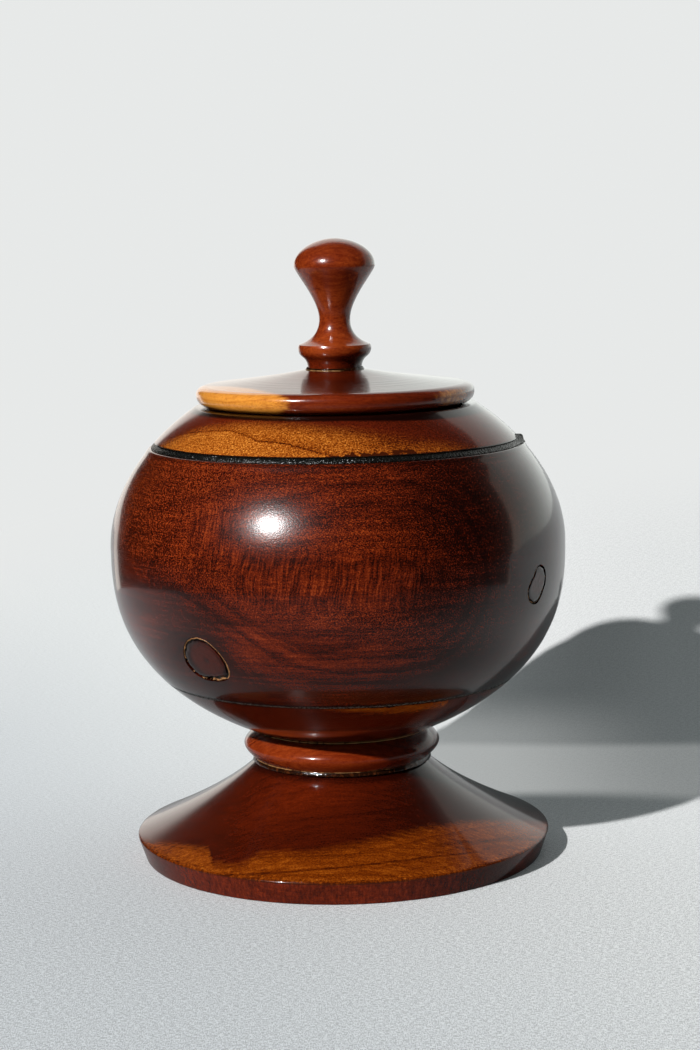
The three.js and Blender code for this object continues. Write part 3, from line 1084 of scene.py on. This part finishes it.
def barkMaterial(name):
    # golden brown on the strands, and black in the sunken gaps: painted shade
    material, shade, spot, (x, y, z) = newMaterial(name)
    strand = shade.add("ShaderNodeAttribute", {"attribute_name": "strand"}, {}, 2)
    torn = shade.noise(spot, 1.1, 3) - 0.5
    shadeOf = (strand + torn * 1.5).ease(0.2, 0.9)
    stops = [(0.0, (0.006, 0.004, 0.003)), (0.45, (0.15, 0.07, 0.028)), (1.0, (0.42, 0.20, 0.075))]
    colour = shadeOf.ramp(stops)
    values = {"Base Color": colour, "Roughness": 0.4, "IOR": 1.4, "Normal": shade.bump(torn, 0.5, 0.0003)}
    finishMaterial(shade, shade.add("ShaderNodeBsdfPrincipled", {}, values))
    return material


bellyFigure = {
    # centre, reach and strength of each patch
    # dark: halos round the knots, a small dark spot, and painted shade on the right
    "dark": [
        (leftKnot["place"], 13, 0.28),
        (rightKnot["place"], 8, 0.16),
        ((-30, -57, 104), 2.6, 0.16),
        ((34, -50, 108), 17, 0.1),
    ],
    # warm: painted sunlight on the lit left and front
    "warm": [
        ((-25, -57.5, 71), 6.5, 0.2),
        ((-38, -53, 103), 13, 0.04),
        ((8, -65, 94), 11, 0.08),
        ((-60, -26, 80), 17, 0.14),
    ],
    "ripple": [((-34, -55, 102), 14, 1)],
    "grain": 0.75,  # how much stronger the fine grain is on the left
}


def bellyMaterial():
    def figureAndPaintedLight(shade, tone, sapTone, x, y, z):
        # darker round the knots, at the far left and below the upper joint; painted shade on the right and
        # low down
        dark = patches(shade, x, y, z, bellyFigure["dark"]) + z.ease(61, 56.5) * 0.1
        dark = dark + x.ease(4, 40) * 0.27 + abs(z - 86).ease(2.2, 0.6) * x.ease(-28, -40) * 0.1
        dark = dark + x.ease(-26, -46) * 0.06 + z.ease(119.5, 119.9) * 0.15
        # painted sunlight: lighter where the sun falls, on the upper belly and the lit left
        warm = patches(shade, x, y, z, bellyFigure["warm"]) + (z - abs(x) * 0.1).ease(107, 116) * 0.06
        warm = warm + x.ease(-16, -40) * (z - 100).ease(-4, 8) * 0.07 + z.ease(82, 70) * 0.03
        # cross ripple in patches, and fine level lines where there is none
        waver = (shade.noise((x * 0.12, y * 0.12, z * 0.12), 1, 1) - 0.5) * 3
        ripple = shade.noise(((x + waver - z * 0.15) * 1.9, y * 0.05, z * 0.14), 1, 1, 0.5) - 0.5
        level = shade.noise((x * 0.04, y * 0.04, (z + waver * 0.2) * 1.3), 1, 3, 0.6) - 0.5
        band = z.ease(80, 86) * z.ease(101, 95) * x.ease(-34, -22) * x.ease(32, 20)
        place = patches(shade, x, y, z, bellyFigure["ripple"]) + band
        blotch = shade.noise((x * 0.1, y * 0.1, z * 0.3 + 3), 1, 2, 0.6) - 0.5
        soft = growth(shade, bellyRings(shade, x, y, z) + waver, 5, 31) * z.ease(92, 80) * 0.16
        fine = (shade.noise((x * 2.6, y * 3.6, z * 3.6), 1, 1, 0.6) - 0.5) * (z + x * 0.3).ease(66, 84)
        fine = fine * (1 + x.ease(-14, -40) * bellyFigure["grain"]) - x.ease(-18, -44) * 0.025
        # two streaks of the growth lines: a lighter one by the left knot, and a dark oval below the middle
        sweep = abs(z - 74 + (x + 20) * 0.5).ease(5, 0) * x.ease(-26, -18) * x.ease(6, -6)
        oval = abs(((x - 10) ** 2 * 0.3 + (z - 84) ** 2) ** 0.5 - 23).ease(4, 0)
        oval = oval * z.ease(74, 68) * x.ease(-16, 4)
        tone = tone - dark - soft + warm + blotch * 0.22 + sweep * 0.1 - oval * 0.12
        tone = tone + fine * (1.7 - place) + ripple * place * 0.9
        return tone + level * (0.6 - place * 0.3).above(0.2), sapTone

    look = {
        "tone": 0.51, "seed": 11.0, "ringSpacing": 4.2, "ring": 0.15, "broad": 0.26, "streak": 0.4,
        "fibre": 0.22, "pore": 0.08, "speckle": 0.65, "sheenLevel": 0.4, "reliefStrength": 0.35,
        "smears": (53.95,), "smearWidth": 0.7,
    }
    return woodMaterial("bellyWood", look, bellyRings, None, figureAndPaintedLight)


shoulderPits = [  # small pits on the right, in millimetres
    (41.7, -22.7, 127.2),
    (42.9, -20.8, 127.0),
    (44.7, -15.5, 127.3),
    (45.5, -17.0, 126.3),
    (46.6, -11.5, 126.9),
]


def shoulderMaterial():
    def marks(shade, tone, sapTone, x, y, z):
        # a thin dark growth line inside the sapwood, on the left, with pits and joint smudges, and painted
        # shade under the lid and on the right
        wave = shade.math("EXPONENT", (x + 29) ** 2 * -0.04)
        wave = wave - shade.math("EXPONENT", (x + 21.5) ** 2 * -0.06)
        lineY = x * (x * 0.0113 - 0.2187) - 52.5 + wave * 0.9
        offset = y - lineY + (shade.noise((x * 0.3, y * 0.3, z * 0.3), 1, 2) - 0.5) * 0.8
        left = x.ease(6, -4)
        thin = abs(offset).ease(0.55, 0.1) * left
        shadow = offset.ease(2.6, 0.2) * offset.ease(-0.2, 0.1) * left
        low = (z - 0.2 * y).ease(137.5, 133) * (x - 5).ease(14, -14)
        # painted shadow: black under the lid's rim, reaching further down on the right
        gap = (z + x.ease(0, 30) * 0.9).ease(130.9, 131.6)  # black under the lid
        pitted = patches(shade, x, y, z, [(pit, 0.5, 1) for pit in shoulderPits]).ease(0.3, 0.6)
        # ragged black smudges over the joint, right of the middle
        torn = shade.noise((x * 0.5, y * 0.5, z * 0.5), 1, 2).ease(0.42, 0.66)
        torn = torn * x.ease(-4, 6) * x.ease(30, 20)
        smudge = (z - torn * 1.2).ease(122.5, 122.3) * 2
        # painted shade: the right side darker, most of all high up where the lid's shadow falls
        paintedShade = x.ease(0, 26) * 0.16 + x.ease(2, 22) * (z - x * 0.1).ease(121, 124.5) * 0.26
        sapTone = sapTone - thin * 0.24 - shadow * 0.1 + low * 0.06 - paintedShade - gap * 0.8 - smudge
        return tone - pitted * 0.6 + x.ease(-8, -34) * 0.08 - gap * 0.6 - smudge, sapTone

    look = {
        "tone": 0.53, "seed": 17.0, "ringSpacing": 5.5, "ring": 0.06, "broad": 0.12, "streak": 0.08,
        "sapTone": 0.54, "sapTexture": 3.2, "sapEdge": 3.2, "fibre": 0.06, "pore": 0.03,
        "speckle": 0.58, "sheenLevel": 0.3, "smears": (122.25,), "smearWidth": 0.2,
    }
    return woodMaterial("shoulderWood", look, shoulderRings, shoulderSap, marks)


def shoulderOutline():
    b = bowl
    outer, length = bowlSide(b["upperRingTop"] + 0.05, b["mouth"], 34)
    first = outer[0]
    seatIn = (first[0] - b["jointDepth"], first[1])
    lower = (first[0] - b["jointDepth"], b["shoulderBottom"])
    hollowStart = (bowlRadius(b["shoulderBottom"], b["wall"]), b["shoulderBottom"])
    hollow = [hollowStart]
    for i in range(1, 13):
        height = b["shoulderBottom"] + (b["boreTop"] - b["shoulderBottom"]) * i / 12
        hollow.append((bowlRadius(height, b["wall"]), height))
    hollow[-1] = (b["mouthRadius"], b["boreTop"])
    bore = line(hollow[-1], (b["mouthRadius"], b["mouth"]), 4)
    outline = outer + line(outer[-1], bore[-1], 4) + bore[::-1][1:] + hollow[::-1]
    outline += line(hollowStart, lower, 3) + line(lower, seatIn, 2) + line(seatIn, first, 3)[:-1]
    return lift(outline, b["underside"])


def buildBowl():
    wall = BellyWall(bowl["bellyRows"])
    look = {
        "tone": 0.45, "seed": 5.0, "ringSpacing": 2.6, "ring": 0.08, "broad": 0.25, "fibre": 0.25,
        "pore": 0.1, "sapTone": 0.34, "sapEdge": 1.4, "sheenLevel": 0.12, "smears": (53.2,),
        "smearWidth": 0.42,
    }
    baseWood = woodMaterial("baseWood", look, ringsRound(-90, -40), baseSap)
    turnPiece("baseTurned", baseOutline(), bowl["baseSides"], "bowl_base", "box", "base_wood", baseWood)
    bellyPiece(wall, bellyMaterial())
    shoulder, wood = shoulderOutline(), shoulderMaterial()
    turnPiece("shoulderTurned", shoulder, bowl["sides"], "shoulder_ring", "box", "shoulder_wood", wood)
    bark = barkMaterial("bark")
    for knot in (leftKnot, rightKnot):
        knotPiece(wall, knot, branchMaterial("branch" + knot["name"], knot))
        barkPiece(wall, knot, bark)


buildBowl()
print("bowl turned, with its knots")

# Joint filler and glue

joints = {
    "upperRidge": 0.08,
    "upperRound": 0.4,
    "upperSetBack": 0.12,  # how far the ring stays inside the bowl's face
    "lowerRound": 0.12,
    "lowerSetBack": 0.02,
    "lumpAt": 84,  # a torn lump, in degrees round from the front
    "lumpSpread": 6,
    "lumpOut": 1.1,
    "lumpUp": 1.0,
    "upperSides": 1080,
}


def fillerMaterial():
    material, shade, spot, (x, y, z) = newMaterial("jointFiller")
    lumps = shade.noise(spot, 1.3, 3, 0.6)
    dust = shade.noise(spot, 2.0, 2).ease(0.5, 0.7)
    lowerLip = z.ease(53.62, 53.48)  # the thin lower joint is grey along its foot
    black = shade.mix(dust * 0.6, (0.004, 0.004, 0.0035), (0.012, 0.013, 0.011))
    colour = shade.mix(lowerLip * lumps.ease(0.2, 0.5), black, (0.075, 0.065, 0.05))
    grit = shade.noise(spot, 1.9, 1, 0.5)
    bump = shade.bump(grit, 1.0, 0.0004)
    roughness = lumps.ease(0.35, 0.7, 0.22, 0.32)
    values = {"Base Color": colour, "Roughness": roughness, "Specular IOR Level": 0.5, "Normal": bump}
    finishMaterial(shade, shade.add("ShaderNodeBsdfPrincipled", {}, values))
    return material


def glueMaterial(name, edge, gold, reach):
    # dark amber, with a thin tan line where the glue dried along one edge
    material, shade, spot, (x, y, z) = newMaterial(name)
    lumps = shade.noise(spot, 0.7, 3)
    tan = abs(z - edge + (lumps - 0.5) * 0.3).ease(0.3, 0.08) * lumps.ease(0.3, 0.5)
    tan = tan * x.ease(reach + 3, reach) * gold
    amber = shade.mix(lumps.ease(0.5, 0.7), (0.014, 0.004, 0.0015), (0.07, 0.018, 0.005))
    colour = shade.mix(tan, amber, (0.42, 0.23, 0.09))
    values = {"Base Color": colour, "Roughness": 0.12, "IOR": 1.5, "Normal": shade.bump(lumps, 0.6, 0.0004)}
    finishMaterial(shade, shade.add("ShaderNodeBsdfPrincipled", {}, values))
    return material


def ringOutline(low, high, inner, setBack, roundness):
    # a flat ring between two sections, with a rounded outer edge
    bottomOut, topOut = bowlRadius(low) - setBack, bowlRadius(high) - setBack
    middle = (low + high) / 2
    outline = [(inner, low)] + line((inner, low), (bottomOut - roundness, low), 3)
    outline += bend(outline[-1], (bottomOut, low), (bowlRadius(middle) - setBack, middle), steps=4)
    outline += bend(outline[-1], (topOut, high), (topOut - roundness, high), steps=4)
    return lift(outline + line(outline[-1], (inner, high), 3), bowl["underside"])


def buildJoints():
    b, filler = bowl, fillerMaterial()
    inner = bowlRadius(b["upperRingTop"]) - b["jointDepth"] + 0.05
    low, high = b["bellyTop"] + 0.05, b["upperRingTop"] - 0.05
    outline = ringOutline(low, high, inner, joints["upperSetBack"], joints["upperRound"])

    def unevenUpper(angle, r, z):
        # lumpy all the way round, with one torn lump standing proud on the right
        if r < inner + 0.5:
            return r, z
        lump = max(0, 1 - abs(degrees(angle) - joints["lumpAt"]) / joints["lumpSpread"]) ** 1.5
        ridge = joints["upperRidge"] * rough(angle, 26, z * 0.8)
        return r + ridge + lump * joints["lumpOut"], z + lump * joints["lumpUp"] * (z > middle)

    middle = b["underside"] + (b["bellyTop"] + b["upperRingTop"]) / 2
    place = ("upper_joint_ring", "box", "joint_filler")
    turnPiece("upperJointFiller", outline, joints["upperSides"], *place, filler, 50, unevenUpper)
    inner = bowlRadius(b["lowerRingTop"]) - b["jointDepth"] + 0.05
    low, high = b["bellyBottom"], b["lowerRingTop"]
    outline = ringOutline(low, high, inner, joints["lowerSetBack"], joints["lowerRound"])
    place = ("lower_joint_ring", "box", "joint_filler")
    turnPiece("lowerJointFiller", outline, bowl["sides"], *place, filler, 50)


buildJoints()
print("joints filled")

# Lid and knob

lid = {
    "seat": 132.25,
    "seatRadius": 36.8,
    "rimRadius": 40.3,
    "rimHeight": 3.6,
    "shoulderRadius": 37.6,
    "shoulderHeight": 6.0,
    "height": 10.0,
    "landRadius": 9.1,
    "domeTurn": (18.0, 8.2),
    "toolMarks": 0.02,
    "crackAt": (22.9, 6.6),
    "spigotRadius": 31.5,
    "spigotDepth": 5.0,
    "dishRadius": 27.0,
    "dishDepth": 2.4,
    "mortiseRadius": 4.3,
    "mortiseDepth": 6.3,
    "sides": 360,
}
knob = {
    "seat": 142.3,
    "height": 37.7,
    "baseRadius": 7.8,
    "beadRadius": 10.6,
    "beadHeight": 6.5,
    "waistRadius": 4.5,
    "waistHeight": 14.5,
    "headRadius": 11.7,
    "headHeight": 29.9,
    "lean": 0.5,
    "scuffAt": (5.2, -8.2, 169.6),
    "litAt": (-4, -10, 149.5),
    "tenonRadius": 4.0,
    "tenonLength": 6.0,
    "sides": 240,
}


def lidOutline():
    l = lid
    seat, rim = (l["seatRadius"], 0), (l["rimRadius"], l["rimHeight"])
    shoulder, land = (l["shoulderRadius"], l["shoulderHeight"]), (l["landRadius"], l["height"])
    spigot = (l["spigotRadius"], -l["spigotDepth"])
    dishTop = l["dishDepth"] - l["spigotDepth"]
    dish = (l["dishRadius"], -l["spigotDepth"])
    outline = [(0, dishTop)] + bend((0, dishTop), (dish[0] * 0.7, dishTop), dish, steps=20)
    outline += line(dish, spigot, 2)[:-1] + rounded(dish, spigot, (spigot[0], 0), 0.5)
    outline += path(outline[-1], ((spigot[0], 0), 3), (seat, 4))
    outline += bend(seat, (l["rimRadius"], 0.6), rim, steps=16)
    outline += bend(rim, (l["rimRadius"], l["shoulderHeight"] - 0.5), shoulder, steps=14)
    for r, z in bend(shoulder, l["domeTurn"], land, steps=96):
        # fine marks of the turning tool
        marks = noise.fractal(Vector((r * 0.7, 0, 3)), 1, 2, 2)
        outline.append((r, z + l["toolMarks"] * marks * min(r - land[0], 1)))
    mortise, floor = l["mortiseRadius"], l["height"] - l["mortiseDepth"]
    outline += path(land, ((mortise, l["height"]), 4), ((mortise, floor), 3), ((0, floor), 2))
    return lift(outline, l["seat"])


def lidSap(shade, x, y, z):
    # the left front edge of the lid is sapwood, and a little of the right
    left = -32.3 - 0.838 * x - 0.546 * y
    right = (0.843 * x - 0.537 * y - 40.1).below(-0.1)
    return left.above(right)


def knobOutline():
    k = knob
    base, bead = (k["baseRadius"], 0), (k["beadRadius"], k["beadHeight"])
    edge = (k["beadRadius"] - 0.25, k["beadHeight"] + 0.75)
    waist, head = (k["waistRadius"], k["waistHeight"]), (k["headRadius"], k["headHeight"])
    neckRise, headRise = k["waistHeight"] - edge[1], k["headHeight"] - k["waistHeight"]
    crown = k["height"] - k["headHeight"]
    start, tenon = -k["tenonLength"], k["tenonRadius"]
    outline = [(0, start), (tenon, start), (tenon, -0.3), (tenon, 0)]
    outline += line(outline[-1], base, 3)
    outline += bend(base, (base[0], bead[1] * 0.68), (bead[0], bead[1] * 0.45), bead, steps=20)
    outline += line(bead, edge, 2)
    leave = (edge[0] - (edge[0] - waist[0]) * 0.7, edge[1] + neckRise * 0.19)
    outline += bend(edge, leave, (waist[0], waist[1] - neckRise * 0.45), waist, steps=30)
    leave, arrive = (waist[0], waist[1] + headRise * 0.383), (head[0], head[1] - headRise * 0.12)
    outline += bend(waist, leave, arrive, head, steps=40)
    leave, top = (head[0] + 0.05, head[1] + crown * 0.62), (0, k["height"])
    outline += bend(head, leave, (head[0] * 0.43, top[1]), top, steps=30)
    return lift(outline, k["seat"])


def buildLid():
    look = {
        "tone": 0.78, "seed": 23.0, "ringSpacing": 2.4, "ring": 0.1, "broad": 0.25, "streak": 0.3,
        "fibre": 0.2, "pore": 0.08, "speckle": 0.15, "sapTone": 0.98, "sapTexture": 1.1,
        "sapEdge": 1.3, "gloss": 0.11, "sheenLevel": 0.4,
    }

    def crackAndPaintedShade(shade, tone, sapTone, x, y, z):
        # a fine crack on the right of the top; the domed top darker, a painted reflection of the dark knob,
        # and the right darker, painted shade
        crackX, crackY = lid["crackAt"]
        line = abs(y - crackY + (x - crackX) * 0.333).ease(0.3, 0.1) * x.ease(22, 24) * x.ease(38, 37)
        return tone - line * 0.4 - z.ease(137.8, 138.8) * 0.28 - x.ease(0, 26) * 0.12, sapTone

    material = woodMaterial("lidWood", look, ringsRound(-20, 210, 2), lidSap, crackAndPaintedShade)
    turnPiece("lidTurned", lidOutline(), lid["sides"], "lid", "lid", "lid_wood", material)
    points, faces, rings = turn(knobOutline(), knob["sides"])
    top, seat = (knob["seat"] + knob["height"]) * mm, knob["seat"] * mm
    points = [(x + knob["lean"] * mm * max(0, z - seat) / (top - seat), y, z) for x, y, z in points]
    look = {
        "tone": 0.8, "seed": 29.0, "ringSpacing": 1.5, "broad": 0.25, "ring": 0.06, "pore": 0.1,
        "streak": 0.5, "fibre": 0.3, "gloss": 0.13, "coat": 1.27, "sheenLevel": 0.4,
    }

    def scuffAndPaintedLight(shade, tone, sapTone, x, y, z):
        # a pale ring scuffed into the head's right side; painted shade under the bead and under the head,
        # and a painted highlight on the bead's front
        px, py, pz = knob["scuffAt"]
        away = ((x - px) ** 2 + (y - py) ** 2 + (z - pz) ** 2) ** 0.5
        ring = abs(away - 1.4).ease(0.5, 0.15) * shade.noise((x, y, z), 1.4, 2).ease(0.4, 0.6)
        under = z.ease(148, 145.5) * (x.ease(-2, 7) * 0.3 + 0.2)
        lit = bulge(shade, x, y, z, knob["litAt"], 5) * 0.15
        band = (z - 170).ease(-6, -1) * (z - 170).ease(2.5, 0) * 0.06
        return tone + ring * 0.2 - band - under + lit, sapTone

    material = woodMaterial("knobWood", look, ringsRound(-60, 120), None, scuffAndPaintedLight)
    newPiece("knobTurned", points, faces, "knob", "lid", material)


buildLid()
print("lid and knob turned")

glueLines = {
    # gold is the tan line's strength, reach its right end, and slim how much thinner the bead is
    "collar_glue_lower": {"name": "glueUnderCollar", "width": 1.1, "gold": 1.0, "reach": 12, "slim": 0.15},
    "collar_glue_upper": {"name": "glueOverCollar", "width": 1.1, "gold": 0.4, "reach": 30, "slim": 0},
    "knob_glue_bead": {"name": "glueRoundKnob", "width": 1.0, "gold": 0.9, "reach": 0, "slim": 0.4},
}


def buildGlue():
    # squeezed-out glue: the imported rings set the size, and the bead wanders within them
    for seed, (node, facts) in enumerate(glueLines.items()):
        low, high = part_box(node)
        outer = high.x / mm
        bottom, top = low.z / mm, high.z / mm
        width = facts["width"]
        body, edge = ("lid", bottom) if node == "knob_glue_bead" else ("box", top - 0.15)
        material = glueMaterial(facts["name"], edge, facts["gold"], facts["reach"])
        if node == "collar_glue_upper":
            outline = [(outer - 0.9, bottom), (outer - 0.15, top - 0.25), (outer, top), (outer - 0.9, top)]
        else:
            corner = (outer - width, bottom)
            outline = [corner, (outer - 0.1, bottom)]
            end = (corner[0] + 0.1, top)
            outline += bend(outline[-1], (outer - 0.15, (bottom + top) / 2), end, steps=6)

        def wander(angle, r, z, outer=outer, width=width, seed=seed, slim=facts["slim"]):
            share = max(0, (r - outer + width) / width)
            return r - share * (0.3 * (0.5 + 0.5 * rough(angle, 6, 5 + seed * 3, 4)) + slim), z

        turnPiece(facts["name"], outline, bowl["sides"], node, body, "glue", material, 70, wander)


buildGlue()
print("glue beads laid")

scene.view_settings.view_transform = "Standard"
